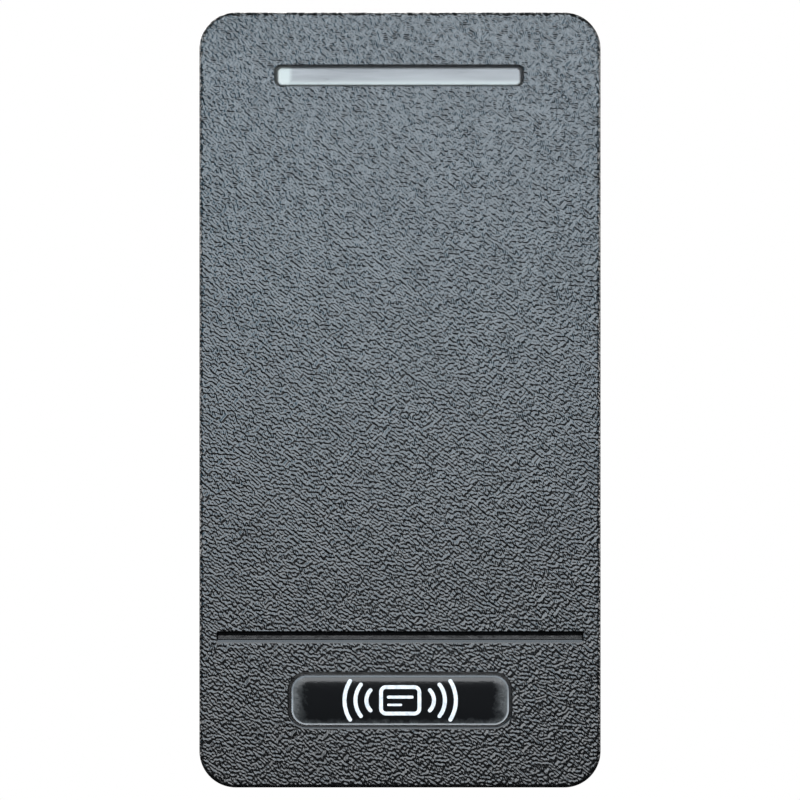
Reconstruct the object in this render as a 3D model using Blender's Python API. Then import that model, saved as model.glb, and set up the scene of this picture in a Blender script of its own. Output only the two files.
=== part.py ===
"""A slim wall-mounted RFID card reader, as an assembly of separate pieces.

Frame: +Z is up and the front faces -Y. The origin is the middle of the wall plate's back face,
on the wall. All sizes are in millimetres until a mesh is made. "Out" is the distance from the
wall towards the front, so y = -out. The reader unit hooks over two tongues on the wall plate,
tilts about them, and is held at the bottom by a captive screw that clamps a forked lug.
"""
import math

import bmesh
import bpy
from mathutils import Matrix, Vector

MM = 0.001

# Driving dimensions
WIDTH, HEIGHT, DEPTH = 44.0, 85.0, 16.0
CORNER = 4.0
EDGE_ROUND = 0.5
FIT = 0.3
CORNER_STEPS = 6
ROUND_STEPS = 20

# Wall plate
PLATE_THICK = 2.0
PLATE_WIDTH = 40.0
PLATE_TOP, PLATE_BOTTOM = 39.4, -40.5
MOUNT_HOLE_SPACING = 60.0
MOUNT_HOLE_RADIUS, COUNTERSINK_RADIUS = 1.9, 3.6
CABLE_WINDOW = (18.0, 14.0)
CABLE_HEIGHT = 12.0
TONGUE_X, TONGUE_WIDTH, TONGUE_TOP = 11.0, 6.0, 40.8
TONGUE_BACK, TONGUE_FRONT = 1.3, 1.9

# Rear cover: a skirt and a panel, hollow on both sides
REAR_BACK, REAR_RIM = 0.3, 8.2
REAR_STEP_IN = 0.3
REAR_CHAMFER = 1.0
RECESS_WIDTH = PLATE_WIDTH + 2 * FIT
RECESS_TOP, RECESS_BOTTOM = 39.8, PLATE_BOTTOM - FIT
PANEL_BACK, PANEL_FRONT = 2.3, 3.8
LIP_OUT, LIP_THICK = 1.0, 0.8
GROMMET_WAIST = 4.5
HOOK_POCKET_TOP = 41.2
HOOK_LIP_FRONT = 0.9

# Front cover: a face and a wall around it
WALL = 2.2
FACE = 2.0
FRONT_RIM = REAR_RIM + FIT
FACE_INSIDE = DEPTH - FACE
CAVITY_WIDTH, CAVITY_HEIGHT = WIDTH - 2 * WALL, HEIGHT - 2 * WALL
CAVITY_CORNER = CORNER - WALL
REBATE = 1.1
SEAL_BACK, SEAL_FRONT = REAR_RIM + LIP_OUT + 0.1, REAR_RIM + LIP_OUT + 0.9
REBATE_FLOOR = SEAL_FRONT + 0.1

# What shows on the face
SLOT_SIZE, SLOT_CENTRE, SLOT_CORNER = (27.2, 2.3), (-0.05, 35.55), 0.7
LENS_SIZE, LENS_CENTRE, LENS_CORNER = (26.4, 1.94), (-0.15, 35.47), 0.55
LENS_SINK = 0.4
GUIDE_FLANGE, GUIDE_TAIL = (30.0, 5.2, 0.8), (26.0, 2.4, 0.5)
GUIDE_SEAT, GUIDE_FLANGE_BACK, GUIDE_BACK = FACE_INSIDE - 0.6, FACE_INSIDE - 1.6, 11.0
GROOVE_SIZE, GROOVE_HEIGHT, GROOVE_DEEP = (39.9, 0.8), -25.8, 0.6
BADGE_SIZE, BADGE_HEIGHT, BADGE_CORNER = (23.9, 5.5), -32.9, 1.7
POCKET_SIZE, POCKET_HEIGHT, POCKET_CORNER, POCKET_DEEP = (24.5, 6.0), -32.8, 2.0, 0.6

# Fixings of the case and of the board
CASE_SCREWS = [(-16.7, 30.3), (16.7, 30.3), (-16.5, -36.5), (16.5, -36.5)]
CASE_BOSS_RADIUS, CASE_BORE_RADIUS, CASE_BOSS_END = 2.5, 1.15, 5.1
REAR_BOSS_RADIUS, REAR_BOSS_END = 3.2, 4.8
BOARD_SCREWS = [(0.0, 30.3), (-12.0, -22.5), (12.0, -22.5)]
BOARD_BACK, BOARD_FRONT = 8.0, 9.2
STANDOFF_RADIUS, STANDOFF_BORE_RADIUS = 2.0, 1.1

# Locking screw at the bottom, on a vertical axis
LOCK_OUT = 5.0
LOCK_RADIUS, LOCK_HEAD_RADIUS = 1.5, 2.3
LUG_WIDTH, LUG_TOP, LUG_BOTTOM, LUG_TIP = 8.0, -34.4, -36.4, 7.0
NUT_SIZE, NUT_TOP, NUT_BOTTOM = 5.5, -31.6, -33.6
LOCK_SEAT, LOCK_BOSS_TOP = -40.7, -38.7
WASHER_TOP, WASHER_THICK, WASHER_RADIUS = -36.85, 0.5, 2.6

# Tamper plunger, on an axis square to the wall
TAMPER = (14.0, -5.0)
TAMPER_TRAVEL = 1.2
PLUNGER_RADIUS = 1.3

# Hinge axis of the reader unit, along X
TILT_OUT, TILT_HEIGHT = 1.2, 40.6

# Antenna, between the board and the face
COIL_HEIGHT = 4.0

# Board parts stand this far off the board
SOLDER_GAP = 0.1
BACK_SEAT = BOARD_BACK - SOLDER_GAP
FRONT_SEAT = BOARD_FRONT + SOLDER_GAP
CAPACITOR_SPOTS = [(5.0, 20.0), (-4.5, 24.0), (13.5, 6.0)]
RESISTOR_SPOTS = [(5.0, 23.0), (-16.0, 1.5), (14.5, -12.0)]

# Self-tapping screws: radius of the head, its back and front, radius of the shank, tip
CASE_SCREW = (2.0, (2.5, 3.4), 0.95, 11.0)
BOARD_SCREW = (1.8, (6.7, 7.9), 0.9, 12.5)


def clear_scene():
    for thing in list(bpy.data.objects):
        bpy.data.objects.remove(thing)


def box_outline(width, height, centre=(0.0, 0.0)):
    x, z = centre
    return [(x + sx * width / 2, z + sz * height / 2) for sx, sz in ((1, 1), (-1, 1), (-1, -1), (1, -1))]


def rounded_outline(width, height, radius, centre=(0.0, 0.0), steps=CORNER_STEPS):
    points = []
    for quarter, (sx, sz) in enumerate(((1, 1), (-1, 1), (-1, -1), (1, -1))):
        x = centre[0] + sx * (width / 2 - radius)
        z = centre[1] + sz * (height / 2 - radius)
        for step in range(steps + 1):
            angle = math.pi / 2 * (quarter + step / steps)
            points.append((x + radius * math.cos(angle), z + radius * math.sin(angle)))
    return points


def circle_outline(radius, centre=(0.0, 0.0), steps=ROUND_STEPS):
    angles = [2 * math.pi * step / steps for step in range(steps)]
    return [(centre[0] + radius * math.cos(a), centre[1] + radius * math.sin(a)) for a in angles]


def comb_outline(body, reach, count, pitch, square):
    """The flat lead frame of a chip: teeth to the left and right, or on all four sides."""
    half_x, half_z = body[0] / 2 + 0.1, body[1] / 2 + 0.1
    tooth = 0.35 * pitch
    side = [(half_x, half_z)]
    for index in range(count):
        z = ((count - 1) / 2 - index) * pitch
        side += [(half_x, z + tooth / 2), (reach / 2, z + tooth / 2)]
        side += [(reach / 2, z - tooth / 2), (half_x, z - tooth / 2)]
    if not square:
        side.append((half_x, -half_z))
        return side + [(-x, -z) for x, z in side]
    outline = []
    for _ in range(4):
        outline += side
        side = [(z, -x) for x, z in side]
    return outline


def loft(name, sections, along="out", ring=False, origin=(0.0, 0.0, 0.0)):
    """A closed body through outlines. A section is (distance, outline), along "out" or "up".

    A ring's last section is joined to its first, so that it goes round a hole."""
    base = Vector(origin)
    shape = bmesh.new()
    rows = []
    for distance, outline in sections:
        spots = [(a, -distance, b) if along == "out" else (a, b, distance) for a, b in outline]
        rows.append([shape.verts.new((Vector(spot) - base) * MM) for spot in spots])
    count = len(rows[0])
    pairs = list(zip(rows, rows[1:]))
    if ring:
        pairs.append((rows[-1], rows[0]))
    else:
        shape.faces.new(rows[0])
        shape.faces.new(rows[-1][::-1])
    for low, high in pairs:
        for i in range(count):
            j = (i + 1) % count
            shape.faces.new((low[j], low[i], high[i], high[j]))
    bmesh.ops.recalc_face_normals(shape, faces=shape.faces)
    mesh = bpy.data.meshes.new(name)
    shape.to_mesh(mesh)
    shape.free()
    piece = bpy.data.objects.new(name, mesh)
    piece.location = base * MM
    bpy.context.collection.objects.link(piece)
    return piece


def prism(name, outline, start, end, along="out", origin=(0.0, 0.0, 0.0)):
    return loft(name, [(start, outline), (end, outline)], along, origin=origin)


def block(name, x, z, out, origin=(0.0, 0.0, 0.0)):
    """A box between two x, two z and two out values."""
    outline = box_outline(x[1] - x[0], z[1] - z[0], ((x[0] + x[1]) / 2, (z[0] + z[1]) / 2))
    return prism(name, outline, out[0], out[1], origin=origin)


def turned(name, profile, centre=(0.0, 0.0), along="out", ring=False, origin=(0.0, 0.0, 0.0)):
    """A round body from (radius, distance) pairs."""
    sections = [(distance, circle_outline(radius, centre)) for radius, distance in profile]
    return loft(name, sections, along, ring, origin)


def peg(name, radius, start, end, centre=(0.0, 0.0), along="out", origin=(0.0, 0.0, 0.0)):
    """A plain cylinder between two distances."""
    return turned(name, [(radius, start), (radius, end)], centre, along, origin=origin)


def combine(target, tools, operation):
    """Cut the target with the tools or join it to them, then remove the tools."""
    for tool in tools:
        modifier = target.modifiers.new("combine", "BOOLEAN")
        modifier.operation = operation
        modifier.object = tool
        graph = bpy.context.evaluated_depsgraph_get()
        graph.update()
        mesh = bpy.data.meshes.new_from_object(target.evaluated_get(graph))
        target.modifiers.clear()
        old, target.data = target.data, mesh
        bpy.data.meshes.remove(old)
        bpy.data.objects.remove(tool)
    target.data.name = target.name


def cut(target, *tools):
    combine(target, tools, "DIFFERENCE")


def unite(target, *tools):
    combine(target, tools, "UNION")


def finish(piece, colour, roughness, metallic=0.0, smooth=True):
    material = bpy.data.materials.new(piece.name + "_finish")
    material.use_nodes = True
    shader = material.node_tree.nodes["Principled BSDF"]
    shader.inputs["Base Color"].default_value = (*colour, 1.0)
    shader.inputs["Roughness"].default_value = roughness
    shader.inputs["Metallic"].default_value = metallic
    piece.data.materials.clear()
    piece.data.materials.append(material)
    if smooth and piece.type == "MESH":
        piece.data.shade_smooth()
        piece.data.set_sharp_from_angle(angle=math.radians(35))
    return piece


def copies(first, places):
    """Copies of a piece that share its mesh, named by number, at further (x, z) places."""
    pieces = [first]
    stem = first.name.rsplit("_", 1)[0]
    for number, (x, z) in enumerate(places[1:], start=2):
        twin = bpy.data.objects.new(f"{stem}_{number}", first.data)
        twin.location = (x * MM, first.location.y, z * MM)
        bpy.context.collection.objects.link(twin)
        pieces.append(twin)
    return pieces


# The wall side


def make_wall_plate():
    middle = (PLATE_TOP + PLATE_BOTTOM) / 2
    outline = rounded_outline(PLATE_WIDTH, PLATE_TOP - PLATE_BOTTOM, 2.0, (0.0, middle))
    plate = prism("wall_plate", outline, 0.0, PLATE_THICK)
    for side in (-1, 1):
        x = side * TONGUE_X
        span = (x - TONGUE_WIDTH / 2, x + TONGUE_WIDTH / 2)
        unite(plate, block("tongue", span, (PLATE_TOP - 1.0, TONGUE_TOP), (TONGUE_BACK, TONGUE_FRONT)))
    half = LUG_WIDTH / 2
    unite(plate, block("lug", (-half, half), (LUG_BOTTOM, LUG_TOP), (PLATE_THICK - 0.5, LUG_TIP)))
    slot = LOCK_RADIUS + FIT
    cut(plate, peg("fork", slot, LUG_BOTTOM - 1, LUG_TOP + 1, (0.0, -LOCK_OUT), "up"))
    cut(plate, block("mouth", (-slot, slot), (LUG_BOTTOM - 1, LUG_TOP + 1), (LOCK_OUT, LUG_TIP + 1)))
    for side in (-1, 1):
        centre = (0.0, side * MOUNT_HOLE_SPACING / 2)
        hole, sink = MOUNT_HOLE_RADIUS, COUNTERSINK_RADIUS
        profile = [(hole, -1.0), (hole, 0.3), (sink, PLATE_THICK), (sink, PLATE_THICK + 1)]
        cut(plate, turned("mount_hole", profile, centre))
    window = rounded_outline(*CABLE_WINDOW, 2.0, (0.0, CABLE_HEIGHT))
    cut(plate, prism("window", window, -1.0, PLATE_THICK + 1))
    return finish(plate, (0.03, 0.031, 0.033), 0.55)


# The case


def case_outline(inset=0.0):
    return rounded_outline(WIDTH - 2 * inset, HEIGHT - 2 * inset, CORNER - inset)


def make_front_cover():
    rounding = []
    for step in range(4):
        angle = math.pi / 2 * step / 3
        inset = EDGE_ROUND * (1 - math.cos(angle))
        out = DEPTH - EDGE_ROUND * (1 - math.sin(angle))
        rounding.append((out, case_outline(inset)))
    cover = loft("front_cover", [(FRONT_RIM, case_outline())] + rounding)
    cavity = rounded_outline(CAVITY_WIDTH, CAVITY_HEIGHT, CAVITY_CORNER)
    cut(cover, prism("cavity", cavity, FRONT_RIM - 1, FACE_INSIDE))
    cut(cover, prism("rebate", case_outline(REBATE), FRONT_RIM - 1, REBATE_FLOOR))
    for spot in CASE_SCREWS:
        unite(cover, peg("post", CASE_BOSS_RADIUS, CASE_BOSS_END, FACE_INSIDE + 0.5, spot))
        cut(cover, peg("bore", CASE_BORE_RADIUS, CASE_BOSS_END - 1, 11.5, spot))
    for spot in BOARD_SCREWS:
        end = BOARD_FRONT + 0.2
        unite(cover, peg("post", STANDOFF_RADIUS, end, FACE_INSIDE + 0.5, spot))
        cut(cover, peg("bore", STANDOFF_BORE_RADIUS, end - 1, 13.0, spot))
    slot = rounded_outline(*SLOT_SIZE, SLOT_CORNER, SLOT_CENTRE, steps=3)
    cut(cover, prism("slot", slot, FACE_INSIDE - 1, DEPTH + 1))
    groove = box_outline(*GROOVE_SIZE, (0.0, GROOVE_HEIGHT))
    cut(cover, prism("groove", groove, DEPTH - GROOVE_DEEP, DEPTH + 1))
    pocket = rounded_outline(*POCKET_SIZE, POCKET_CORNER, (0.0, POCKET_HEIGHT))
    cut(cover, prism("badge_pocket", pocket, DEPTH - POCKET_DEEP, DEPTH + 1))
    return finish(cover, (0.055, 0.062, 0.068), 0.5)


def make_rear_cover():
    skirt = case_outline(REAR_STEP_IN)
    edge = case_outline(REAR_STEP_IN + REAR_CHAMFER)
    cover = loft("rear_cover", [(REAR_BACK, edge), (REAR_BACK + REAR_CHAMFER, skirt), (REAR_RIM, skirt)])
    lip_width, lip_height = CAVITY_WIDTH + 2 * LIP_THICK, CAVITY_HEIGHT + 2 * LIP_THICK
    lip = rounded_outline(lip_width, lip_height, CAVITY_CORNER + LIP_THICK)
    unite(cover, prism("lip", lip, REAR_RIM - 1, REAR_RIM + LIP_OUT))
    tray = rounded_outline(CAVITY_WIDTH, CAVITY_HEIGHT, CAVITY_CORNER)
    cut(cover, prism("tray", tray, PANEL_FRONT, REAR_RIM + LIP_OUT + 1))
    middle = (RECESS_TOP + RECESS_BOTTOM) / 2
    recess = rounded_outline(RECESS_WIDTH, RECESS_TOP - RECESS_BOTTOM, 2.0, (0.0, middle))
    cut(cover, prism("recess", recess, REAR_BACK - 1, PANEL_BACK))
    add_lock_housing(cover)
    for side in (-1, 1):
        x = side * TONGUE_X
        half = TONGUE_WIDTH / 2 + FIT
        cut(cover, block("hook_pocket", (x - half, x + half), (RECESS_TOP - 1, HOOK_POCKET_TOP),
                         (HOOK_LIP_FRONT, PANEL_BACK)))
    for spot in CASE_SCREWS:
        unite(cover, peg("boss", REAR_BOSS_RADIUS, PANEL_FRONT - 0.5, REAR_BOSS_END, spot))
        profile = [(2.3, PANEL_BACK - 1), (2.3, 3.6), (1.25, 3.6), (1.25, REAR_BOSS_END + 1)]
        cut(cover, turned("screw_hole", profile, spot))
    through = (PANEL_BACK - 1, PANEL_FRONT + 1)
    cut(cover, peg("cable_hole", GROMMET_WAIST + 0.2, *through, (0.0, CABLE_HEIGHT)))
    cut(cover, peg("plunger_hole", PLUNGER_RADIUS + FIT, *through, TAMPER))
    return finish(cover, (0.03, 0.031, 0.033), 0.55)


def add_lock_housing(cover):
    """The block at the bottom of the rear cover that the lug enters, with the nut and the screw."""
    axis = (0.0, -LOCK_OUT)
    unite(cover, block("housing", (-6.0, 6.0), (-41.0, -29.8), (PANEL_FRONT - 0.5, 9.1)))
    half = LUG_WIDTH / 2 + 0.6
    reach = (REAR_BACK + 1, LUG_TIP + 0.9)
    cut(cover, block("lug_hollow", (-half, half), (LOCK_BOSS_TOP, LUG_TOP + 0.4), reach))
    nut = NUT_SIZE / 2 + 0.2
    pocket = ((-nut, nut), (NUT_BOTTOM - 0.15, NUT_TOP + 0.15), (PANEL_BACK - 0.5, LOCK_OUT + nut))
    cut(cover, block("nut_pocket", *pocket))
    shank = LOCK_RADIUS + FIT
    below = -HEIGHT / 2 - 1
    cut(cover, peg("lock_bore", shank, below, -30.6, axis, "up"))
    cut(cover, peg("lock_seat", LOCK_HEAD_RADIUS + FIT, below, LOCK_SEAT, axis, "up"))


def make_cover_seal():
    inner_width, inner_height = CAVITY_WIDTH + 0.1, CAVITY_HEIGHT + 0.1
    inner = rounded_outline(inner_width, inner_height, CAVITY_CORNER + 0.05)
    outer = rounded_outline(inner_width + 1.4, inner_height + 1.4, CAVITY_CORNER + 0.75)
    sections = [(SEAL_BACK, outer), (SEAL_FRONT, outer), (SEAL_FRONT, inner), (SEAL_BACK, inner)]
    return finish(loft("cover_seal", sections, ring=True), (0.02, 0.02, 0.02), 0.8)


def make_screws(stem, spots, head_radius, head, shank_radius, tip):
    """Screws that point out from the wall, with a cross recess. Head is (back, front)."""
    x, z = spots[0]
    origin = (x, -head[0], z)
    profile = [(head_radius, head[0]), (head_radius, head[1]), (shank_radius, head[1]),
               (shank_radius, tip - 0.4), (shank_radius / 2, tip)]
    screw = turned(stem + "_1", profile, spots[0], origin=origin)
    long, short = head_radius * 0.6, head_radius * 0.16
    deep = head[0] + 0.55 * (head[1] - head[0])
    for half_x, half_z in ((long, short), (short, long)):
        span = ((x - half_x, x + half_x), (z - half_z, z + half_z), (head[0] - 1, deep))
        cut(screw, block("recess", *span, origin=origin))
    finish(screw, (0.45, 0.45, 0.44), 0.35, 1.0)
    return copies(screw, spots)


# The face


def make_light_guide():
    lens = rounded_outline(*LENS_SIZE, LENS_CORNER, LENS_CENTRE, steps=3)
    flange = rounded_outline(*GUIDE_FLANGE, LENS_CENTRE, steps=3)
    tail = rounded_outline(*GUIDE_TAIL, LENS_CENTRE, steps=3)
    sections = [(GUIDE_BACK, tail), (GUIDE_FLANGE_BACK, tail), (GUIDE_FLANGE_BACK, flange), (GUIDE_SEAT, flange),
                (GUIDE_SEAT, lens), (DEPTH - LENS_SINK, lens)]
    return finish(loft("light_guide", sections), (0.55, 0.62, 0.68), 0.3)


def make_light_guide_gasket():
    inner = rounded_outline(27.4, 2.9, 0.6, LENS_CENTRE, steps=3)
    outer = rounded_outline(29.6, 4.8, 1.0, LENS_CENTRE, steps=3)
    back, front = FACE_INSIDE - 0.5, FACE_INSIDE - 0.1
    sections = [(back, outer), (front, outer), (front, inner), (back, inner)]
    return finish(loft("light_guide_gasket", sections, ring=True), (0.02, 0.02, 0.02), 0.8)


def make_badge():
    """A domed label: its edge rises steeply, and its top is a low crown."""
    floor = DEPTH - POCKET_DEEP + 0.1
    sections = []
    for out, inset in ((floor, 0.0), (floor + 0.2, 0.0), (floor + 0.34, 0.15), (floor + 0.42, 0.5),
                       (floor + 0.46, 1.2)):
        width, height = (side - 2 * inset for side in BADGE_SIZE)
        corner = max(BADGE_CORNER - inset, 0.4)
        sections.append((out, rounded_outline(width, height, corner, (0.0, BADGE_HEIGHT))))
    return finish(loft("badge_label", sections), (0.01, 0.01, 0.011), 0.12)


# The electronics


def make_board():
    wide, narrow, bottom, shoulder, top = 18.6, 13.7, -27.0, 27.2, 39.0
    corners = [(wide, bottom), (wide, shoulder), (narrow, shoulder), (narrow, top)]
    outline = corners + [(-x, z) for x, z in corners[::-1]]
    board = prism("main_board", outline, BOARD_BACK, BOARD_FRONT)
    for spot in BOARD_SCREWS:
        cut(board, turned("hole", [(1.2, BOARD_BACK - 1), (1.2, BOARD_FRONT + 1)], spot))
    return finish(board, (0.015, 0.09, 0.04), 0.4, smooth=False)


def make_leds():
    spots = [(x, LENS_CENTRE[1]) for x in (-10.0, -5.0, 0.0, 5.0, 10.0)]
    x, z = spots[0]
    origin = (x, -FRONT_SEAT, z)
    length, width, top = 3.5, 2.8, FRONT_SEAT + 1.4
    led = block("status_led_1", (x - length / 2, x + length / 2), (z - width / 2, z + width / 2),
                (FRONT_SEAT, top), origin)
    dish = [(0.85, top - 0.3), (1.15, top + 0.1)]
    cut(led, turned("dish", dish, (x, z), origin=origin))
    finish(led, (0.8, 0.8, 0.75), 0.4)
    return copies(led, spots)


def make_chip(name, spot, body, height, reach, count, pitch, square=False):
    """A moulded chip on flat leads: two rows, or four on a square one."""
    x, z = spot
    chip = block(name, (x - body[0] / 2, x + body[0] / 2), (z - body[1] / 2, z + body[1] / 2),
                 (BACK_SEAT - height, BACK_SEAT - 0.2))
    comb = comb_outline(body, reach, count, pitch, square)
    leads = prism("leads", [(x + a, z + b) for a, b in comb], BACK_SEAT - 0.3, BACK_SEAT)
    unite(chip, leads)
    return finish(chip, (0.02, 0.02, 0.022), 0.5, smooth=False)


def make_chips():
    return [
        make_chip("controller_chip", (12.0, 13.0), (7.0, 7.0), 1.5, 9.0, 8, 0.8, square=True),
        make_chip("radio_chip", (-12.0, 14.0), (7.5, 10.3), 2.2, 10.3, 8, 1.27),
        make_chip("line_driver", (-14.0, -5.5), (3.9, 4.9), 1.6, 6.0, 4, 1.27),
        make_chip("voltage_regulator", (-12.0, 23.2), (3.5, 6.5), 1.7, 7.0, 3, 2.3),
    ]


def make_crystal():
    outline = rounded_outline(5.0, 3.2, 0.5, (12.0, 21.5), steps=2)
    return finish(prism("crystal", outline, BACK_SEAT - 1.1, BACK_SEAT), (0.6, 0.6, 0.58), 0.25, 1.0)


def make_inductor():
    centre = (-12.5, -14.0)
    base = rounded_outline(6.0, 6.0, 1.2, centre, steps=2)
    coil = prism("power_inductor", base, BACK_SEAT - 0.8, BACK_SEAT)
    unite(coil, peg("core", 2.5, BACK_SEAT - 3.0, BACK_SEAT - 0.5, centre))
    return finish(coil, (0.06, 0.06, 0.065), 0.6)


def make_capacitors():
    spots = [(-5.5, -13.5), (-5.5, -19.5)]
    x, z = spots[0]
    origin = (x, -BACK_SEAT, z)
    top = BACK_SEAT - 3.5
    profile = [(1.7, top), (2.0, top + 0.3), (2.0, BACK_SEAT - 1.0), (1.85, BACK_SEAT - 0.8),
               (2.0, BACK_SEAT - 0.6), (2.0, BACK_SEAT)]
    can = turned("bulk_capacitor_1", profile, spots[0], origin=origin)
    finish(can, (0.6, 0.6, 0.6), 0.3, 1.0)
    return copies(can, spots)


def make_buzzer():
    centre = (5.5, -16.0)
    top = BACK_SEAT - 3.2
    case = turned("buzzer", [(4.2, top), (4.5, top + 0.3), (4.5, BACK_SEAT)], centre)
    cut(case, peg("sound_hole", 0.8, top - 1, top + 0.8, centre))
    return finish(case, (0.02, 0.02, 0.02), 0.45)


def make_connector():
    """A shrouded header, open towards the wall, with eight pins."""
    x, z, count, pitch = 0.0, -4.0, 8, 2.0
    length, width, top, floor = 18.4, 5.0, BACK_SEAT - 3.3, BACK_SEAT - 0.9
    shroud = block("cable_connector", (x - length / 2, x + length / 2), (z - width / 2, z + width / 2),
                   (top, BACK_SEAT))
    cut(shroud, block("inside", (x - length / 2 + 0.7, x + length / 2 - 0.7),
                      (z - width / 2 + 0.7, z + width / 2 - 0.7), (top - 1, floor)))
    finish(shroud, (0.75, 0.72, 0.62), 0.5, smooth=False)
    spots = [(x + (index - (count - 1) / 2) * pitch, z) for index in range(count)]
    px, pz = spots[0]
    origin = (px, -floor, pz)
    reach = (top + 0.3, floor - SOLDER_GAP)
    pin = block("connector_pin_1", (px - 0.3, px + 0.3), (pz - 0.3, pz + 0.3), reach, origin)
    finish(pin, (0.8, 0.62, 0.25), 0.25, 1.0, smooth=False)
    return [shroud] + copies(pin, spots)


def make_chip_parts(stem, spots, colour):
    x, z = spots[0]
    length, width, height = 2.0, 1.2, 0.7
    part = block(stem + "_1", (x - length / 2, x + length / 2), (z - width / 2, z + width / 2),
                 (BACK_SEAT - height, BACK_SEAT), (x, -BACK_SEAT, z))
    finish(part, colour, 0.5, smooth=False)
    return copies(part, spots)


def make_antenna():
    def frame(width, height, radius):
        return rounded_outline(width, height, radius, (0.0, COIL_HEIGHT), steps=4)

    hole, web, flange = frame(27.6, 38.0, 2.4), frame(29.2, 39.6, 3.2), frame(34.8, 45.2, 6.0)
    former = loft("coil_former", [(10.7, flange), (11.4, flange), (11.4, web), (12.9, web), (12.9, flange),
                                  (13.6, flange), (13.6, hole), (10.7, hole)], ring=True)
    inner, outer = frame(29.6, 40.0, 3.4), frame(34.0, 44.4, 5.6)
    coil = loft("antenna_coil", [(11.55, outer), (12.75, outer), (12.75, inner), (11.55, inner)], ring=True)
    sheet = prism("ferrite_sheet", frame(34.0, 44.0, 2.0), 10.0, 10.4)
    finish(former, (0.7, 0.68, 0.6), 0.5)
    finish(coil, (0.55, 0.2, 0.08), 0.35, 1.0)
    finish(sheet, (0.05, 0.05, 0.055), 0.6)
    return [former, coil, sheet]


def make_grommet():
    bore, flange = 3.2, 5.7
    back, shoulder, front = PANEL_BACK + 0.1, PANEL_FRONT + 0.1, PANEL_FRONT + 1.0
    profile = [(bore, back), (GROMMET_WAIST, back), (GROMMET_WAIST, shoulder), (flange, shoulder),
               (flange, front), (bore, front)]
    return finish(turned("cable_grommet", profile, (0.0, CABLE_HEIGHT), ring=True), (0.02, 0.02, 0.02), 0.75)


# The tamper contact


def make_tamper_parts():
    x, z = TAMPER
    flange_back = PANEL_FRONT + 0.1 + TAMPER_TRAVEL
    tip = PLATE_THICK + 0.15
    profile = [(0.7, tip), (PLUNGER_RADIUS, tip + 0.5), (PLUNGER_RADIUS, flange_back), (3.3, flange_back),
               (3.3, flange_back + 0.8), (0.8, flange_back + 0.8), (0.8, flange_back + 1.4)]
    plunger = turned("tamper_plunger", profile, TAMPER, origin=(x, -tip, z))
    switch = block("tamper_switch", (x - 1.75, x + 1.75), (z - 1.75, z + 1.75), (BACK_SEAT - 1.0, BACK_SEAT))
    unite(switch, peg("button", 0.8, BACK_SEAT - 1.3, BACK_SEAT - 0.8, TAMPER))
    finish(plunger, (0.75, 0.75, 0.72), 0.4)
    finish(switch, (0.05, 0.05, 0.05), 0.45)
    spring = make_spring(flange_back + 0.8)
    return plunger, switch, spring


def make_spring(top):
    """A round-wire coil between the plunger's flange and the board."""
    x, z = TAMPER
    turns, per_turn, coil_radius, wire = 3.0, 12, 2.95, 0.2
    low, high = top + wire + 0.1, BACK_SEAT - wire
    curve = bpy.data.curves.new("tamper_spring", "CURVE")
    curve.dimensions = "3D"
    curve.bevel_depth = wire * MM
    curve.bevel_resolution = 1
    curve.use_fill_caps = True
    count = int(turns * per_turn) + 1
    line = curve.splines.new("POLY")
    line.points.add(count - 1)
    for index, point in enumerate(line.points):
        part = index / (count - 1)
        angle = 2 * math.pi * turns * part
        reach = (coil_radius * math.cos(angle), coil_radius * math.sin(angle))
        point.co = (reach[0] * MM, -(low + (high - low) * part) * MM, reach[1] * MM, 1.0)
    spring = bpy.data.objects.new("tamper_spring", curve)
    spring.location = (x * MM, 0.0, z * MM)
    bpy.context.collection.objects.link(spring)
    return finish(spring, (0.5, 0.5, 0.5), 0.3, 1.0)


# The locking screw


def make_lock_parts():
    axis = (0.0, -LOCK_OUT)
    origin = (0.0, -LOCK_OUT, LOCK_SEAT)
    washer_bottom = WASHER_TOP - WASHER_THICK
    head_bottom, head_top, tip = -42.1, -40.9, -31.0
    neck = LOCK_RADIUS - 0.25
    profile = [(LOCK_HEAD_RADIUS - 0.4, head_bottom), (LOCK_HEAD_RADIUS, head_bottom + 0.4),
               (LOCK_HEAD_RADIUS, head_top), (LOCK_RADIUS, head_top), (LOCK_RADIUS, washer_bottom - 0.1),
               (neck, washer_bottom - 0.1), (neck, WASHER_TOP + 0.1), (LOCK_RADIUS, WASHER_TOP + 0.1),
               (LOCK_RADIUS, tip - 0.5), (LOCK_RADIUS - 0.5, tip)]
    screw = turned("lock_screw", profile, axis, "up", origin=origin)
    socket = circle_outline(1.1, axis, steps=6)
    cut(screw, prism("socket", socket, head_bottom - 1, head_bottom + 0.9, "up", origin))
    hole = neck + 0.15
    ring = [(hole, washer_bottom), (WASHER_RADIUS, washer_bottom),
            (WASHER_RADIUS, WASHER_TOP), (hole, WASHER_TOP)]
    washer = turned("lock_washer", ring, axis, "up", ring=True, origin=origin)
    half = NUT_SIZE / 2
    nut = block("lock_nut", (-half, half), (NUT_BOTTOM, NUT_TOP), (LOCK_OUT - half, LOCK_OUT + half))
    cut(nut, peg("thread", LOCK_RADIUS + 0.2, NUT_BOTTOM - 1, NUT_TOP + 1, axis, "up"))
    finish(screw, (0.4, 0.4, 0.4), 0.3, 1.0)
    finish(washer, (0.55, 0.55, 0.53), 0.35, 1.0)
    finish(nut, (0.6, 0.58, 0.5), 0.35, 1.0)
    return screw, washer, nut


# Assembly


def make_axis(name, spot):
    marker = bpy.data.objects.new(name, None)
    marker.location = Vector(spot) * MM
    bpy.context.collection.objects.link(marker)
    return marker


def attach(parent, pieces):
    """Parent the pieces without moving them."""
    bpy.context.view_layer.update()
    for piece in pieces:
        piece.parent = parent
        piece.matrix_parent_inverse = Matrix.Translation(-parent.matrix_world.translation)


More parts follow.
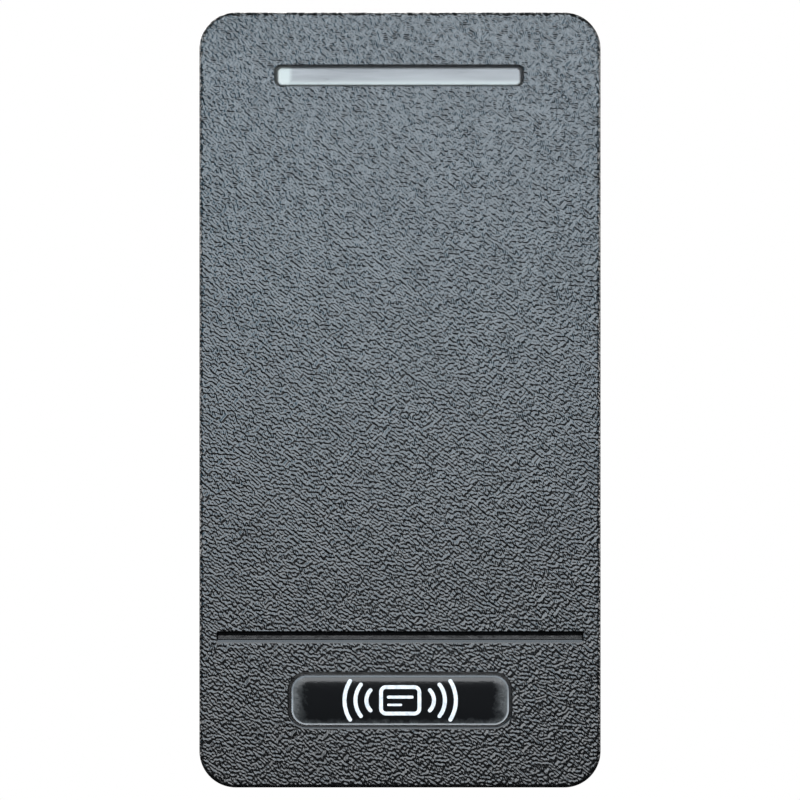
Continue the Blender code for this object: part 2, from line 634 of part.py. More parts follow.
def main():
    clear_scene()
    make_wall_plate()
    hinge = make_axis("reader_tilt_axis", (0.0, -TILT_OUT, TILT_HEIGHT))
    plunger, switch, spring = make_tamper_parts()
    screw, washer, nut = make_lock_parts()
    reader = [make_front_cover(), make_rear_cover(), make_cover_seal(), make_light_guide(),
              make_light_guide_gasket(), make_badge(), make_board(), make_crystal(), make_inductor(),
              make_buzzer(), make_grommet(), switch, spring, nut]
    reader += make_screws("case_screw", CASE_SCREWS, *CASE_SCREW)
    reader += make_screws("board_screw", BOARD_SCREWS, *BOARD_SCREW)
    reader += make_leds() + make_chips() + make_capacitors() + make_connector() + make_antenna()
    reader += make_chip_parts("chip_capacitor", CAPACITOR_SPOTS, (0.45, 0.33, 0.2))
    reader += make_chip_parts("chip_resistor", RESISTOR_SPOTS, (0.03, 0.03, 0.03))
    attach(hinge, reader + [plunger, washer])
    attach(washer, [screw])


main()
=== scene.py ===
"""Looks of a slim wall-mounted RFID card reader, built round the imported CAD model.

Lengths are in millimetres until a mesh is made. "Out" is the distance from the wall, so y = -out.
"""
import math

import bmesh
import bpy
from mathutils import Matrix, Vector


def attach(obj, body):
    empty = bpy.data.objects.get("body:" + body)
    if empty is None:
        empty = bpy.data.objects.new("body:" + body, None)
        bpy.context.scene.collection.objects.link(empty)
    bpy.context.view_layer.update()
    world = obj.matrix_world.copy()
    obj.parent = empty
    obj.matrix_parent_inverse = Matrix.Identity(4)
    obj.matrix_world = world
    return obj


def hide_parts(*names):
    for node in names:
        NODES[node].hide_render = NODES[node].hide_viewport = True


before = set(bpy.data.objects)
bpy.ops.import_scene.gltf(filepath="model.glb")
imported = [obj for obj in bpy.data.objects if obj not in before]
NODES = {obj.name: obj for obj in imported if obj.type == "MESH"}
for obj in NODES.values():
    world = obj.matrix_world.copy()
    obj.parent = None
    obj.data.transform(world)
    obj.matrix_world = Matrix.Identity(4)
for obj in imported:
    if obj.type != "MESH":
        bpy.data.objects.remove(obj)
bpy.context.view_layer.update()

MM = 0.001

# The case, as in the CAD
WIDTH, HEIGHT, DEPTH = 44.0, 85.0, 16.0
CORNER, EDGE_ROUND = 4.0, 0.5
RIM, FACE_INSIDE = 8.5, 14.0
CAVITY = (39.6, 80.6, 1.8)
REBATE, REBATE_FLOOR = 1.1, 10.2
CASE_POST, BOARD_POST = (2.5, 5.1), (2.0, 9.4)
CASE_BORE, BOARD_BORE = (1.15, 4.1, 11.5), (1.1, 8.4, 13.0)
LED_DISH_OUT, LED_FACE_OUT = 10.5, 10.62
CASE_POSTS = [(-16.7, 30.3), (16.7, 30.3), (-16.5, -36.5), (16.5, -36.5)]
BOARD_POSTS = [(0.0, 30.3), (-12.0, -22.5), (12.0, -22.5)]
SLOT = (27.3, 2.3, 0.7, (-0.10, 35.60))
LENS = (26.7, 1.96, 0.55, (-0.10, 35.48))
LENS_DEEP = 0.5
GUIDE_FLANGE, GUIDE_TAIL = (30.0, 5.2, 0.8), (26.0, 2.4, 0.5)
GUIDE_SEAT, GUIDE_FLANGE_BACK, GUIDE_BACK = FACE_INSIDE - 0.6, FACE_INSIDE - 1.6, 11.0
GROOVE = (39.9, 0.8, 0.12, (0.0, -25.8))
GROOVE_DEEP = 0.6
BADGE = (23.85, 5.5, 1.7, (0.02, -32.9))
POCKET = (24.5, 6.0, 2.0, (0.0, -32.8))
POCKET_DEEP = 0.6


# Meshes


def rounded_outline(width, height, radius, centre=(0.0, 0.0), steps=12, spread=0.0):
    """A rounded rectangle's points. Spread moves the outline outwards, keeping its centres of rounding."""
    points = []
    reach = radius + spread
    for quarter, (sx, sz) in enumerate(((1, 1), (-1, 1), (-1, -1), (1, -1))):
        x = centre[0] + sx * (width / 2 - radius)
        z = centre[1] + sz * (height / 2 - radius)
        for step in range(steps + 1):
            angle = math.pi / 2 * (quarter + step / steps)
            points.append((x + reach * math.cos(angle), z + reach * math.sin(angle)))
    return points


def circle_outline(radius, centre=(0.0, 0.0), steps=40):
    angles = [2 * math.pi * step / steps for step in range(steps)]
    return [(centre[0] + radius * math.cos(a), centre[1] + radius * math.sin(a)) for a in angles]


def loft(name, sections):
    """A closed body through outlines: a section is (out, outline)."""
    shape = bmesh.new()
    rows = []
    for out, outline in sections:
        rows.append([shape.verts.new(Vector((x, -out, z)) * MM) for x, z in outline])
    count = len(rows[0])
    shape.faces.new(rows[0])
    shape.faces.new(rows[-1][::-1])
    for low, high in zip(rows, rows[1:]):
        for i in range(count):
            j = (i + 1) % count
            shape.faces.new((low[j], low[i], high[i], high[j]))
    bmesh.ops.recalc_face_normals(shape, faces=shape.faces)
    mesh = bpy.data.meshes.new(name)
    shape.to_mesh(mesh)
    shape.free()
    return add_object(name, mesh)


def add_object(name, mesh):
    piece = bpy.data.objects.new(name, mesh)
    bpy.context.scene.collection.objects.link(piece)
    return piece


def join(name, pieces):
    """One object of several pieces that don't touch."""
    shape = bmesh.new()
    for piece in pieces:
        shape.from_mesh(piece.data)
        bpy.data.objects.remove(piece)
    mesh = bpy.data.meshes.new(name)
    shape.to_mesh(mesh)
    shape.free()
    return add_object(name, mesh)


def apply_modifiers(target):
    graph = bpy.context.evaluated_depsgraph_get()
    graph.update()
    mesh = bpy.data.meshes.new_from_object(target.evaluated_get(graph))
    target.modifiers.clear()
    target.data = mesh
    mesh.name = target.name


def combine(target, tool, operation):
    modifier = target.modifiers.new("combine", "BOOLEAN")
    modifier.operation = operation
    modifier.solver = "EXACT"
    modifier.object = tool
    apply_modifiers(target)
    bpy.data.objects.remove(tool)


def smooth(target, sharp_degrees=38.0):
    target.data.shade_smooth()
    target.data.set_sharp_from_angle(angle=math.radians(sharp_degrees))
    weighted = target.modifiers.new("weighted", "WEIGHTED_NORMAL")
    weighted.keep_sharp = True
    apply_modifiers(target)


def rounding(radius, steps, start):
    """(out, spread) pairs of a quarter round: vertical at start, level when it is done."""
    pairs = []
    for step in range(steps + 1):
        angle = math.pi / 2 * step / steps
        pairs.append((start + radius * math.sin(angle), radius * (1 - math.cos(angle))))
    return pairs


# Shader graphs


class Graph:
    """A material with a Principled shader, and short calls to add nodes to it."""

    def __init__(self, name, colour, roughness, metallic=0.0, **more):
        self.material = bpy.data.materials.new(name)
        self.material.use_nodes = True
        self.tree = self.material.node_tree
        self.shader = self.tree.nodes["Principled BSDF"]
        values = {"Base Color": (*colour, 1.0), "Roughness": roughness, "Metallic": metallic, **more}
        for key, value in values.items():
            self.shader.inputs[key].default_value = value

    def add(self, kind, inputs=(), **settings):
        node = self.tree.nodes.new(kind)
        for key, value in settings.items():
            setattr(node, key, value)
        for key, value in dict(inputs).items():
            if isinstance(value, bpy.types.NodeSocket):
                self.tree.links.new(value, node.inputs[key])
            else:
                node.inputs[key].default_value = value
        return node

    def place(self, stretch=(1.0, 1.0, 1.0), turn=(0.0, 0.0, 0.0)):
        """Coordinates fixed to the piece. A pattern is stretched along its own axes and then turned."""
        coord = self.add("ShaderNodeTexCoord").outputs["Object"]
        return self.add("ShaderNodeMapping", {"Vector": coord, "Scale": stretch, "Rotation": turn},
                        vector_type="TEXTURE").outputs[0]

    def noise(self, scale, detail=2.0, rough=0.5, distort=0.0, vector=None):
        vector = vector or self.place()
        node = self.add("ShaderNodeTexNoise", {"Vector": vector, "Scale": scale, "Detail": detail,
                                               "Roughness": rough, "Distortion": distort})
        return node.outputs["Fac"]

    def spread(self, value, low, high, to_low=0.0, to_high=1.0):
        node = self.add("ShaderNodeMapRange", {"Value": value, "From Min": low, "From Max": high,
                                               "To Min": to_low, "To Max": to_high})
        return node.outputs[0]

    def maths(self, operation, a, b=0.0):
        return self.add("ShaderNodeMath", {0: a, 1: b}, operation=operation).outputs[0]

    def length(self, a, b):
        squares = [self.maths("MULTIPLY", part, part) for part in (a, b)]
        return self.maths("SQRT", self.maths("ADD", *squares))

    def mix(self, factor, first, second):
        node = self.add("ShaderNodeMix", data_type="RGBA")
        for socket, value in ((node.inputs[0], factor), (node.inputs[6], first), (node.inputs[7], second)):
            if isinstance(value, bpy.types.NodeSocket):
                self.tree.links.new(value, socket)
            else:
                socket.default_value = value if isinstance(value, float) else (*value, 1.0)
        return node.outputs[2]

    def into(self, key, socket):
        self.tree.links.new(socket, self.shader.inputs[key])

    def bump(self, height, distance):
        node = self.add("ShaderNodeBump", {"Height": height, "Distance": distance, "Strength": 1.0})
        self.into("Normal", node.outputs[0])


def grained_plastic(name="grained_plastic", deep=(0.0012, 0.0013, 0.0015), tone=(0.003, 0.0034, 0.0038),
                    sheen=1.0, rough=(0.29, 0.35)):
    """Spark-eroded grain on a charcoal moulding: close-set bumps, with painted shade making the pits between
    them darker.
    """
    g = Graph(name, tone, rough[0], **{"Specular IOR Level": sheen})
    slanted = g.place(stretch=(1.2, 1.0, 0.88), turn=(0.0, math.radians(40), 0.0))
    fine = g.noise(3250.0, 0.0, 0.5, 0.0, slanted)
    coarse = g.noise(1100.0, 1.0, 0.5, 0.0, slanted)
    height = g.maths("ADD", g.spread(fine, 0.25, 0.75), g.maths("MULTIPLY", coarse, 0.15))
    g.bump(height, 0.000104)
    blotch = g.noise(180.0, 3.0, 0.55)
    lighter = tuple(c * 1.3 for c in tone)
    top = g.mix(g.spread(blotch, 0.3, 0.7), tone, lighter)
    # painted shade: where the grain is low, between the bumps, the colour goes to the darker deep colour
    g.into("Base Color", g.mix(g.spread(fine, 0.34, 0.58), deep, top))
    g.into("Roughness", g.spread(blotch, 0.3, 0.7, *rough))
    return g.material


def polished_plastic():
    """The same plastic where the mould isn't eroded: the walls and lips of the openings."""
    g = Graph("polished_plastic", (0.002, 0.002, 0.0025), 0.3, **{"Specular IOR Level": 0.6})
    haze = g.noise(900.0, 3.0, 0.6)
    g.bump(haze, 0.00002)
    g.into("Base Color", g.mix(g.spread(haze, 0.35, 0.7), (0.0015, 0.0015, 0.002), (0.0035, 0.004, 0.0045)))
    g.into("Roughness", g.spread(haze, 0.3, 0.7, 0.17, 0.25))
    return g.material


def matt_plastic(name, colour, grain=0.00002):
    g = Graph(name, colour, 0.5)
    fine = g.noise(3200.0, 2.0)
    g.bump(fine, grain)
    tone = g.noise(150.0, 3.0)
    lighter = tuple(c * 1.25 + 0.002 for c in colour)
    g.into("Base Color", g.mix(g.spread(tone, 0.35, 0.65), colour, lighter))
    g.into("Roughness", g.spread(fine, 0.3, 0.7, 0.48, 0.6))
    return g.material


def milky_lens():
    """Frosted light-guide plastic, whiter at its left end, with faint streaks of flow along it, and a
    painted highlight towards its lower edge.
    """
    g = Graph("milky_lens", (0.24, 0.21, 0.20), 0.3, **{"Specular IOR Level": 0.2})
    streaks = g.noise(800.0, 3.0, 0.5, 0.4, g.place(stretch=(9.0, 1.0, 1.0)))
    body = g.mix(g.spread(streaks, 0.35, 0.65), (0.200, 0.186, 0.181), (0.265, 0.249, 0.240))
    split = g.add("ShaderNodeSeparateXYZ", {0: g.place()}).outputs
    left = (LENS[3][0] - LENS[0] / 2) * MM
    end = g.spread(split[0], left + 1.2 * MM, left + 1.7 * MM, 1.0, 0.0)
    foot = (LENS[3][1] - LENS[1] / 2) * MM
    # painted highlight: the lens turns lighter towards its lower edge, as if light caught it there
    painted_foot_highlight = g.spread(split[2], foot + 0.65 * MM, foot + 0.25 * MM, 0.0, 0.75)
    g.into("Base Color", g.mix(g.maths("MAXIMUM", end, painted_foot_highlight), body, (0.38, 0.37, 0.34)))
    g.into("Roughness", g.spread(streaks, 0.3, 0.7, 0.24, 0.38))
    g.bump(g.noise(900.0, 2.0), 0.00001)
    return g.material


def badge_resin():
    """Clear resin over black: frosted and scuffed towards its edge, and clear in the middle. The lighter
    colour of the frost is partly painted reflection of the dome's rim, stronger along the lower side, and a
    thin line round the edge is a painted highlight, brightest along the lower edge.
    """
    g = Graph("badge_resin", (0.006, 0.006, 0.007), 0.16)
    width, height, corner, centre = BADGE
    split = g.add("ShaderNodeSeparateXYZ", {0: g.add("ShaderNodeTexCoord").outputs["Object"]}).outputs
    across = g.maths("ABSOLUTE", g.maths("SUBTRACT", split[0], centre[0] * MM))
    along = g.maths("ABSOLUTE", g.maths("SUBTRACT", split[2], centre[1] * MM))
    beyond = [g.maths("MAXIMUM", g.maths("SUBTRACT", part, (size / 2 - corner) * MM), 0.0)
              for part, size in ((across, width), (along, height))]
    to_edge = g.maths("SUBTRACT", corner * MM, g.length(*beyond))
    ends = g.spread(across, (width / 2 - 2.1) * MM, width / 2 * MM)
    # painted light: the badge is treated as more lit towards the bottom, so its frosted sides and edge line
    # are stronger below
    lower = g.spread(split[2], (centre[1] - height / 2) * MM, (centre[1] + height / 2) * MM, 1.0, 0.12)
    sides = g.maths("MULTIPLY", g.spread(along, (height / 2 - 1.0) * MM, height / 2 * MM, 0.0, 0.9), lower)
    smudge = g.noise(1300.0, 4.0, 0.7, 0.5)
    specks = g.noise(3600.0, 2.0, 0.6)
    # the frost is rougher resin; its lighter colour is also painted reflection of the dome's rim, stronger
    # along the lower side
    frost_and_painted_rim_light = g.maths("ADD", g.length(ends, sides), g.spread(smudge, 0.3, 0.7, -0.22, 0.22))
    mask = g.maths("POWER", g.spread(frost_and_painted_rim_light, 0.15, 1.0), 1.4)
    frost_and_painted_reflection = g.mix(g.spread(specks, 0.35, 0.7), (0.065, 0.067, 0.067), (0.130, 0.133, 0.131))
    # painted highlight: a thin lighter line round the edge, brightest along the lower edge
    line = g.spread(to_edge, 0.08 * MM, 0.26 * MM, 1.0, 0.0)
    painted_rim_highlight = g.mix(lower, (0.025, 0.026, 0.027), (0.75, 0.755, 0.76))
    g.into("Base Color", g.mix(line, g.mix(mask, (0.0085, 0.0088, 0.0095), frost_and_painted_reflection), painted_rim_highlight))
    g.into("Roughness", g.spread(mask, 0.1, 0.9, 0.10, 0.46))
    g.bump(specks, 0.000004)
    return g.material


def white_ink():
    g = Graph("white_ink", (0.80, 0.80, 0.80), 0.4)
    tone = g.noise(2600.0, 3.0)
    g.into("Base Color", g.mix(g.spread(tone, 0.3, 0.7), (0.62, 0.62, 0.63), (0.92, 0.92, 0.92)))
    g.bump(tone, 0.000006)
    return g.material


def rubber(name):
    g = Graph(name, (0.018, 0.018, 0.018), 0.8)
    grain = g.noise(1500.0, 3.0)
    g.bump(grain, 0.00002)
    g.into("Base Color", g.mix(grain, (0.012, 0.012, 0.012), (0.03, 0.03, 0.029)))
    return g.material


def metal(name, colour, roughness, stretch=(1.0, 1.0, 1.0)):
    """Bright metal with fine tool marks and slight tarnish."""
    g = Graph(name, colour, roughness, 1.0)
    marks = g.noise(6000.0, 2.0, 0.6, 0.0, g.place(stretch=stretch))
    tarnish = g.noise(500.0, 3.0)
    darker = tuple(c * 0.72 for c in colour)
    g.into("Base Color", g.mix(g.spread(tarnish, 0.35, 0.7), colour, darker))
    g.into("Roughness", g.spread(marks, 0.3, 0.7, roughness - 0.08, roughness + 0.12))
    g.bump(marks, 0.000004)
    return g.material


def board_mask():
    """Green solder mask over tracks that show as slightly raised, lighter lines, in runs both ways."""
    g = Graph("board_mask", (0.012, 0.085, 0.035), 0.35)
    split = g.add("ShaderNodeSeparateXYZ", {0: g.place()}).outputs
    upright, level = [g.maths("LESS_THAN", g.maths("FRACT", g.maths("DIVIDE", part, 0.9 * MM)), 0.32)
                      for part in (split[0], split[2])]
    patches = g.add("ShaderNodeTexVoronoi", {"Vector": g.place(), "Scale": 190.0},
                    distance="CHEBYCHEV").outputs["Color"]
    pick = g.add("ShaderNodeSeparateXYZ", {0: patches}).outputs
    tracks = g.mix(g.maths("GREATER_THAN", pick[0], 0.5), upright, level)
    bare = g.maths("GREATER_THAN", pick[1], 0.7)
    tracks = g.mix(bare, tracks, (0.0, 0.0, 0.0))
    g.into("Base Color", g.mix(tracks, (0.010, 0.075, 0.030), (0.03, 0.17, 0.07)))
    g.bump(tracks, 0.00003)
    return g.material


def wound_copper():
    """Enamelled wire, laid side by side round the former, with painted shade in the gaps between turns."""
    g = Graph("wound_copper", (0.55, 0.19, 0.07), 0.28, 1.0)
    wave = g.add("ShaderNodeTexWave", {"Vector": g.place(), "Scale": 2600.0, "Distortion": 0.4},
                 wave_type="BANDS", bands_direction="Y").outputs["Fac"]
    g.bump(wave, 0.00006)
    # painted shade: the colour is darker where the wave is low, in the gaps between turns
    g.into("Base Color", g.mix(wave, (0.30, 0.09, 0.03), (0.62, 0.24, 0.09)))
    return g.material


def led_package():
    """White housing with a yellow phosphor dish."""
    g = Graph("led_package", (0.82, 0.82, 0.78), 0.35)
    split = g.add("ShaderNodeSeparateXYZ", {0: g.add("ShaderNodeTexCoord").outputs["Object"]}).outputs
    deep = g.spread(split[1], -LED_FACE_OUT * MM, -LED_DISH_OUT * MM)
    tone = g.noise(1200.0, 2.0)
    dish = g.mix(tone, (0.75, 0.52, 0.08), (0.85, 0.66, 0.16))
    g.into("Base Color", g.mix(deep, (0.82, 0.82, 0.78), dish))
    return g.material


# Pieces


def make_front_shell():
    body = [(RIM, 0.0)] + [(out, -spread) for out, spread in rounding(EDGE_ROUND, 8, DEPTH - EDGE_ROUND)]
    shell = loft("front_shell", [(out, rounded_outline(WIDTH, HEIGHT, CORNER, steps=24, spread=spread))
                                 for out, spread in body])
    hollow = [(RIM - 1, rounded_outline(WIDTH - 2 * REBATE, HEIGHT - 2 * REBATE, CORNER - REBATE)),
              (REBATE_FLOOR, rounded_outline(WIDTH - 2 * REBATE, HEIGHT - 2 * REBATE, CORNER - REBATE)),
              (REBATE_FLOOR, rounded_outline(*CAVITY)), (FACE_INSIDE, rounded_outline(*CAVITY))]
    combine(shell, loft("hollow", hollow), "DIFFERENCE")
    posts = []
    for (radius, start), spots in ((CASE_POST, CASE_POSTS), (BOARD_POST, BOARD_POSTS)):
        for spot in spots:
            ring = circle_outline(radius, spot)
            posts.append(loft("post", [(start, ring), (FACE_INSIDE + 0.5, ring)]))
    combine(shell, join("posts", posts), "UNION")
    cuts = []
    for (radius, start, end), spots in ((CASE_BORE, CASE_POSTS), (BOARD_BORE, BOARD_POSTS)):
        for spot in spots:
            ring = circle_outline(radius, spot, 24)
            cuts.append(loft("bore", [(start, ring), (end, ring)]))
    openings = ((SLOT, 0.14, 0.14, DEPTH - FACE_INSIDE + 1, 0.0), (GROOVE, 0.26, 0.75, GROOVE_DEEP, 0.45),
                (POCKET, 0.18, 0.34, POCKET_DEEP, 0.0))
    for opening in openings:
        cuts.append(flared_cutter(*opening))
    combine(shell, join("cuts", cuts), "DIFFERENCE")
    smooth(shell)
    dress(shell, grained_plastic(), "front_shell", "reader", "front_cover")
    shell.data.materials.append(polished_plastic())
    sides = grained_plastic("side_plastic", (0.008, 0.008, 0.009), (0.018, 0.019, 0.021), 0.5, (0.46, 0.56))
    shell.data.materials.append(sides)
    for face in shell.data.polygons:
        x, out, z = face.center.x / MM, -face.center.y / MM, face.center.z / MM
        if abs(face.normal.y) < 0.3:
            face.material_index = 2
        opened = any(inside(shape, x, z, 0.7 * reach) for shape, _, reach, _, _ in openings)
        if opened and out < DEPTH - 0.001:
            face.material_index = int(out > FACE_INSIDE - 0.5)
    return shell


def inside(shape, x, z, margin):
    """Whether a point lies in a rounded rectangle that is widened by a margin."""
    width, height, corner, centre = shape
    across = max(abs(x - centre[0]) - width / 2 + corner, 0.0)
    along = max(abs(z - centre[1]) - height / 2 + corner, 0.0)
    return math.hypot(across, along) < corner + margin


def flared_cutter(shape, drop, reach, deep, hollow):
    """A cutter for an opening. Its lip falls by a drop over a reach, mostly along the lower side.

    The hollow is how far a rounding at its foot takes in the upper side, or 0.
    """
    width, height, corner, centre = shape
    proud, steps = 0.006, 8
    sections = []
    for step in range(steps if hollow else 0):
        angle = math.pi / 2 * step / steps
        inset = hollow * (1 - math.sin(angle))
        outline = rounded_outline(width, height - inset, corner, (centre[0], centre[1] - inset / 2))
        sections.append((DEPTH - drop - (deep - drop) * math.cos(angle), outline))
    if not hollow:
        sections.append((DEPTH - deep, rounded_outline(*shape)))
    for step in range(steps + 1):
        angle = math.pi / 2 * step / steps
        down = reach * (1 - math.cos(angle))
        sections.append((DEPTH + proud - drop * (1 - math.sin(angle)), widened(shape, down)))
    sections.append((DEPTH + 1, widened(shape, reach + 0.01)))
    return loft("cutter", sections)


def widened(shape, down):
    """An opening's outline, moved outwards below by a distance and much less above and at the ends."""
    width, height, corner, centre = shape
    up, side = 0.15 * down, 0.3 * down
    moved = (centre[0], centre[1] + (up - down) / 2)
    return rounded_outline(width + 2 * side, height + up + down, corner + side, moved)


def dress(piece, material, slot, body, *replaced):
    piece.data.materials.clear()
    piece.data.materials.append(material)
    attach(piece, body)
    if replaced:
        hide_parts(*replaced)
    return piece


def make_light_bar():
    front, centre = DEPTH - LENS_DEEP, LENS[3]
    flange = rounded_outline(*GUIDE_FLANGE, centre)
    tail = rounded_outline(*GUIDE_TAIL, centre)
    sections = [(GUIDE_BACK, tail), (GUIDE_FLANGE_BACK, tail), (GUIDE_FLANGE_BACK, flange),
                (GUIDE_SEAT, flange), (GUIDE_SEAT, rounded_outline(*LENS))]
    for out, spread in rounding(0.26, 6, front - 0.26):
        sections.append((out, rounded_outline(*LENS, spread=-spread)))
    bar = loft("light_bar", sections)
    smooth(bar)
    return dress(bar, milky_lens(), "lens", "reader", "light_guide")


def make_badge():
    """The domed label: steep at its edge, with longer slopes at its ends than along its sides."""
    width, height, corner, centre = BADGE
    floor, top = DEPTH - POCKET_DEEP + 0.1, DEPTH - 0.04
    profile = [(0.0, 0.0, 0.0), (0.0, 0.0, 0.22), (0.02, 0.03, 0.28), (0.07, 0.10, 0.33), (0.14, 0.24, 0.37),
               (0.24, 0.45, 0.40), (0.36, 0.75, 0.425), (0.50, 1.1, 0.44), (0.75, 1.6, 0.45),
               (1.15, 2.3, 0.457), (1.7, 3.2, 0.46)]
    sections = []
    for inset_z, inset_x, rise in profile:
        radius = max(corner - 0.9 * inset_z, 0.5)
        outline = rounded_outline(width - 2 * inset_x, height - 2 * inset_z, radius, centre)
        sections.append((min(floor + rise, top), outline))
    badge = loft("badge", sections)
    smooth(badge, 50.0)
    return dress(badge, badge_resin(), "label", "reader", "badge_label")


def stroke(name, line, width, back, front, closed=False):
    """A printed stroke along a line, with round ends."""
    half = width / 2
    points = [Vector(p) for p in line]
    count = len(points)
    left, right = [], []
    for i, p in enumerate(points):
        before = points[i - 1] if closed or i else p
        after = points[(i + 1) % count] if closed or i < count - 1 else p
        along = (after - before).normalized()
        side = Vector((-along.y, along.x)) * half
        left.append(p + side)
        right.append(p - side)
    if closed:
        return ring_slab(name, left, right, back, front)
    outline = []
    for end, start, rest in ((points[-1], left[-1], right[-1]), (points[0], right[0], left[0])):
        first = math.atan2(start.y - end.y, start.x - end.x)
        cap = [Vector((end.x + half * math.cos(first - math.pi * k / 8),
                       end.y + half * math.sin(first - math.pi * k / 8))) for k in range(1, 8)]
        outline.append(cap)
    loop = left + outline[0] + right[::-1] + outline[1]
    return loft(name, [(back, loop), (front, loop)])


def ring_slab(name, outer, inner, back, front):
    shape = bmesh.new()
    rows = [[shape.verts.new(Vector((p.x, -out, p.y)) * MM) for p in line]
            for out, line in ((back, outer), (front, outer), (front, inner), (back, inner))]
    count = len(outer)
    for low, high in zip(rows, rows[1:] + rows[:1]):
        for i in range(count):
            j = (i + 1) % count
            shape.faces.new((low[j], low[i], high[i], high[j]))
    bmesh.ops.recalc_face_normals(shape, faces=shape.faces)
    mesh = bpy.data.meshes.new(name)
    shape.to_mesh(mesh)
    shape.free()
    return add_object(name, mesh)


def make_badge_print():
    """A generic pictogram: a card between two sets of radio waves."""
    back, front = DEPTH - 0.06, DEPTH - 0.022
    _, _, _, (cx, cz) = BADGE
    pieces = []
    card = rounded_outline(4.2, 2.9, 0.55, (cx, cz), steps=6)
    pieces.append(stroke("card", card, 0.42, back, front, closed=True))
    pieces.append(stroke("stripe", [(cx - 1.3, cz + 0.35), (cx + 1.3, cz + 0.35)], 0.34, back, front))
    pieces.append(stroke("line", [(cx - 1.3, cz - 0.5), (cx + 0.1, cz - 0.5)], 0.26, back, front))
    for side in (-1, 1):
        for number, radius in enumerate((1.6, 2.8, 4.0)):
            half = math.radians(44 - 6 * number)
            origin = cx + side * 2.1
            arc = []
            for step in range(17):
                angle = half * (2 * step / 16 - 1)
                arc.append((origin + side * radius * math.cos(angle), cz + radius * math.sin(angle)))
            pieces.append(stroke(f"wave_{side}_{number}", arc, 0.44, back, front))
    ink = join("badge_print", pieces)
    smooth(ink)
    return dress(ink, white_ink(), "label", "reader")


def dress_nodes():
    """Materials for the CAD nodes that stay as they are."""
    looks = {
        "case": (matt_plastic("case_plastic", (0.026, 0.027, 0.029)), ("rear_cover", "wall_plate")),
        "rubber": (rubber("seal_rubber"), ("cover_seal", "light_guide_gasket", "cable_grommet")),
        "steel": (metal("screw_steel", (0.52, 0.52, 0.50), 0.3),
                  ("case_screw", "board_screw", "lock_screw", "lock_washer", "tamper_spring")),
        "zinc": (metal("nut_zinc", (0.62, 0.60, 0.52), 0.34), ("lock_nut",)),
        "board": (board_mask(), ("main_board",)),
        "resin": (matt_plastic("chip_resin", (0.016, 0.016, 0.018), 0.000012),
                  ("controller_chip", "radio_chip", "line_driver", "voltage_regulator", "power_inductor",
                   "buzzer", "tamper_switch", "chip_resistor")),
        "ceramic": (matt_plastic("chip_ceramic", (0.42, 0.30, 0.18), 0.00001), ("chip_capacitor",)),
        "can": (metal("metal_can", (0.66, 0.66, 0.64), 0.24), ("crystal", "bulk_capacitor")),
        "led": (led_package(), ("status_led",)),
        "nylon": (matt_plastic("connector_nylon", (0.72, 0.69, 0.58), 0.00001),
                  ("cable_connector", "coil_former")),
        "gold": (metal("contact_gold", (0.83, 0.62, 0.25), 0.22), ("connector_pin",)),
        "copper": (wound_copper(), ("antenna_coil",)),
        "ferrite": (matt_plastic("ferrite", (0.045, 0.045, 0.05), 0.00003), ("ferrite_sheet",)),
        "plunger": (matt_plastic("plunger_nylon", (0.72, 0.72, 0.69), 0.00001), ("tamper_plunger",)),
    }
    for material, stems in looks.values():
        for name, node in NODES.items():
            if name.startswith(stems):
                node.data.materials.clear()
                node.data.materials.append(material)


# Light, floor and camera


def add_light(name, place, target, size, power, colour):
    data = bpy.data.lights.new(name, "AREA")
    data.shape = "RECTANGLE"
    data.size, data.size_y = size
    data.energy = power
    data.color = colour
    lamp = bpy.data.objects.new(name, data)
    lamp.location = place
    lamp.visible_camera = False
    lamp.rotation_mode = "QUATERNION"
    lamp.rotation_quaternion = (Vector(target) - Vector(place)).to_track_quat("-Z", "Y")
    bpy.context.scene.collection.objects.link(lamp)


def make_world():
    world = bpy.data.worlds.new("studio")
    world.use_nodes = True
    tree = world.node_tree
    tree.nodes.clear()
    rays = tree.nodes.new("ShaderNodeLightPath")
    white, dim = tree.nodes.new("ShaderNodeBackground"), tree.nodes.new("ShaderNodeBackground")
    white.inputs["Color"].default_value = (1.0, 1.0, 1.0, 1.0)
    dim.inputs["Color"].default_value = (0.95, 0.98, 1.0, 1.0)
    dim.inputs["Strength"].default_value = 0.03
    mix, out = tree.nodes.new("ShaderNodeMixShader"), tree.nodes.new("ShaderNodeOutputWorld")
    tree.links.new(rays.outputs["Is Camera Ray"], mix.inputs[0])
    tree.links.new(dim.outputs[0], mix.inputs[1])
    tree.links.new(white.outputs[0], mix.inputs[2])
    tree.links.new(mix.outputs[0], out.inputs["Surface"])
    bpy.context.scene.world = world


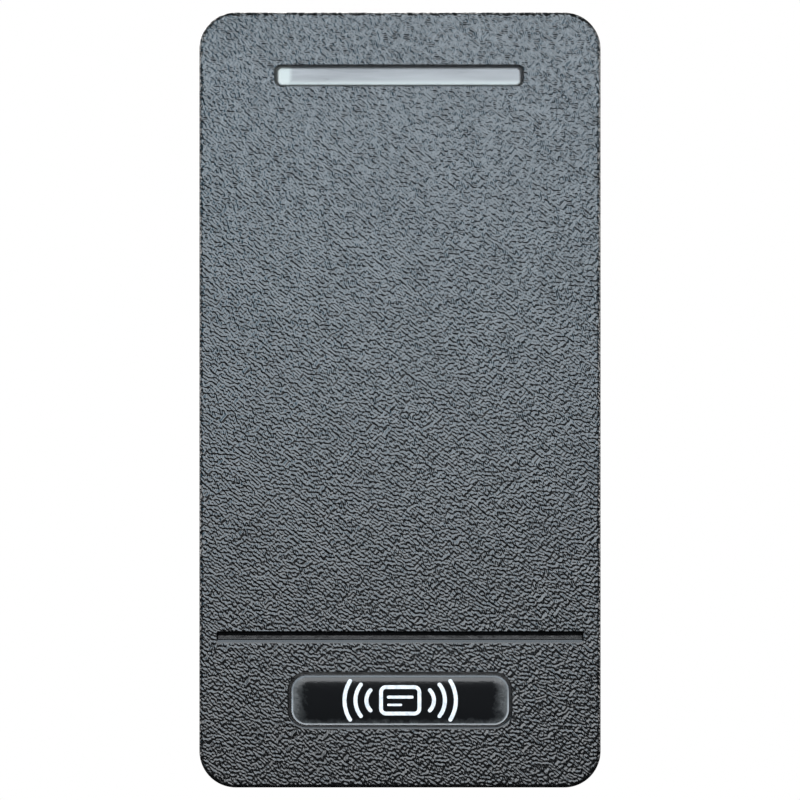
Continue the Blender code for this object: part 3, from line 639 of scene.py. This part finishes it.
def make_stage():
    """A pale floor well below the reader. It glows, so that it stays pale, and doesn't light the reader."""
    floor = bmesh.new()
    bmesh.ops.create_grid(floor, x_segments=8, y_segments=8, size=1.6)
    mesh = bpy.data.meshes.new("floor")
    floor.to_mesh(mesh)
    floor.free()
    plane = add_object("floor", mesh)
    plane.location = (0.0, 0.0, -0.25)
    g = Graph("floor_paint", (0.82, 0.82, 0.82), 0.8, **{"Emission Strength": 0.75})
    tone = g.mix(g.noise(20.0, 3.0), (0.80, 0.80, 0.80), (0.85, 0.85, 0.85))
    g.into("Base Color", tone)
    g.into("Emission Color", tone)
    plane.visible_diffuse = plane.visible_glossy = False
    mesh.materials.append(g.material)


def make_camera():
    data = bpy.data.cameras.new("camera")
    data.sensor_width = 36.0
    distance, view_height = 0.350, 0.08763
    data.lens = data.sensor_width * distance / view_height
    data.clip_start, data.clip_end = 0.01, 10.0
    camera = bpy.data.objects.new("camera", data)
    camera.location = (0.0, -(DEPTH * MM + distance), 0.0)
    camera.rotation_euler = (math.radians(90), 0.0, 0.0)
    bpy.context.scene.collection.objects.link(camera)
    bpy.context.scene.camera = camera


make_front_shell()
make_light_bar()
make_badge()
make_badge_print()
dress_nodes()
make_stage()
make_world()
add_light("key", (0.010, -0.12, 0.082), (0.0, 0.0, 0.0), (0.20, 0.11), 0.235, (1.0, 0.95, 0.93))
add_light("sky", (-0.01, -0.09, 0.058), (-0.01, 0.0, 0.053), (0.24, 0.11), 0.10, (0.10, 0.62, 1.0))
add_light("front", (0.0, -0.20, 0.008), (0.0, 0.0, 0.008), (0.24, 0.085), 0.33, (0.94, 0.97, 1.0))
add_light("left", (-0.5, 0.16, 0.10), (0.0, 0.0, 0.0), (0.30, 0.40), 1.8, (1.0, 1.0, 1.0))
add_light("right", (0.5, 0.16, 0.10), (0.0, 0.0, 0.0), (0.30, 0.40), 1.8, (1.0, 1.0, 1.0))
add_light("back", (-0.1, 0.45, 0.35), (0.0, 0.0, 0.0), (0.35, 0.35), 3.0, (1.0, 0.99, 0.97))
make_camera()
bpy.context.scene.view_settings.view_transform = "Standard"
bpy.context.scene.view_settings.gamma = 0.9
